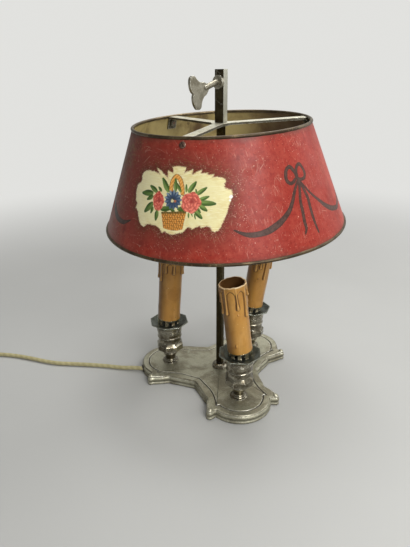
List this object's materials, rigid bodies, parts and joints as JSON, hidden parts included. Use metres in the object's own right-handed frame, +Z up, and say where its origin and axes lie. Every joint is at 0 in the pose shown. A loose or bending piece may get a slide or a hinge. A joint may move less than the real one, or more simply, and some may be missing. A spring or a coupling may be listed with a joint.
{
  "type": "bouillotte lamp",
  "caption": "Table lamp with candle lights on a trefoil brass base, under a painted metal shade that slides on a centre rod and is held by a butterfly key.",
  "frame": {"origin": "on the table, in the middle of the base's underside, on the centre rod's axis", "axes": "+Z up along the centre rod; -Y is the side that the butterfly key points to; +X is to the right of someone who faces the key"},
  "size_m": [0.4589, 0.4298, 0.3276],
  "materials": {
    "patinated_brass": "patinated satin",
    "rod_brass": "dark patinated satin",
    "bright_brass": "worn satin",
    "steel": "plain",
    "screw_brass": "worn",
    "felt": "matte felt",
    "holder_plastic": "dark moulded",
    "contact_brass": "plain",
    "candle_wax": "aged wax look",
    "red_paint": "aged satin paint with painted flowers",
    "dark_brass": "dark with worn gilding",
    "spider_metal": "worn",
    "gold_cord": "glossy translucent gold",
    "lead_plastic": "plain",
    "black_plastic": "plain",
    "brown_plastic": "moulded",
    "pin_brass": "nickelled brass"
  },
  "bodies": {
    "base": {"base_plate": "patinated_brass", "rod_collar": "patinated_brass", "socket_right": "patinated_brass", "socket_left": "patinated_brass", "socket_rear": "patinated_brass", "drip_pan_right": "patinated_brass", "drip_pan_left": "patinated_brass", "drip_pan_rear": "patinated_brass", "centre_rod": "rod_brass", "candle_seat_right": "bright_brass", "candle_seat_left": "bright_brass", "candle_seat_rear": "bright_brass", "base_cover": "steel", "cover_screws": "steel", "rod_washer": "steel", "rod_nut": "steel", "nipple_nuts": "steel", "jam_nuts": "steel", "nipple_right": "steel", "nipple_left": "steel", "nipple_rear": "steel", "base_felt": "felt", "lampholder_right": "holder_plastic", "lampholder_left": "holder_plastic", "lampholder_rear": "holder_plastic", "screw_shell_right": "contact_brass", "screw_shell_left": "contact_brass", "screw_shell_rear": "contact_brass", "centre_contacts": "contact_brass", "switch_terminals": "contact_brass", "cord_lamp": "gold_cord", "cord_middle": "gold_cord", "cord_plug": "gold_cord", "cord_coil": "gold_cord", "mains_sheath": "gold_cord", "inner_leads": "lead_plastic", "cord_bush": "black_plastic", "lead_splice": "black_plastic", "switch_base": "brown_plastic", "switch_cover": "brown_plastic", "plug_body": "brown_plastic", "plug_relief": "brown_plastic", "plug_pins": "pin_brass"},
    "shade_carriage": {"shade_shell": "red_paint", "top_rim": "dark_brass", "bottom_rim": "dark_brass", "shade_spider": "spider_metal", "shade_screws": "screw_brass", "shade_nuts": "steel", "slider_tube": "rod_brass", "key_boss": "bright_brass"},
    "key": {"thumb_key": "bright_brass"},
    "rocker": {"switch_rocker": "brown_plastic"},
    "sleeve_right": {"candle_sleeve_right": "candle_wax"},
    "sleeve_left": {"candle_sleeve_left": "candle_wax"},
    "sleeve_rear": {"candle_sleeve_rear": "candle_wax"}
  },
  "joints": [
    {"name": "shade_slide", "type": "slide", "parent": "base", "child": "shade_carriage", "axis": [0, 0, 1], "range_m": [-0.1, 0.004]},
    {"name": "key_turn", "type": "hinge", "parent": "shade_carriage", "child": "key", "pos_m": [0, -0.0029, 0.3167], "axis": [0, -1, 0], "range_deg": [0, 360]},
    {"name": "rocker_tilt", "type": "hinge", "parent": "base", "child": "rocker", "pos_m": [-0.28553, -0.19367, 0.014], "axis": [0.5446, -0.8387, 0], "range_deg": [-24, 0]},
    {"name": "sleeve_lift_right", "type": "slide", "parent": "base", "child": "sleeve_right", "axis": [-0.0681, -0.101, 0.9925], "range_m": [0, 0.04]},
    {"name": "sleeve_lift_left", "type": "slide", "parent": "base", "child": "sleeve_left", "axis": [0.0588, 0.0493, 0.9971], "range_m": [0, 0.04]},
    {"name": "sleeve_lift_rear", "type": "slide", "parent": "base", "child": "sleeve_rear", "axis": [0.1106, 0.0928, 0.9895], "range_m": [0, 0.04]}
  ]
}
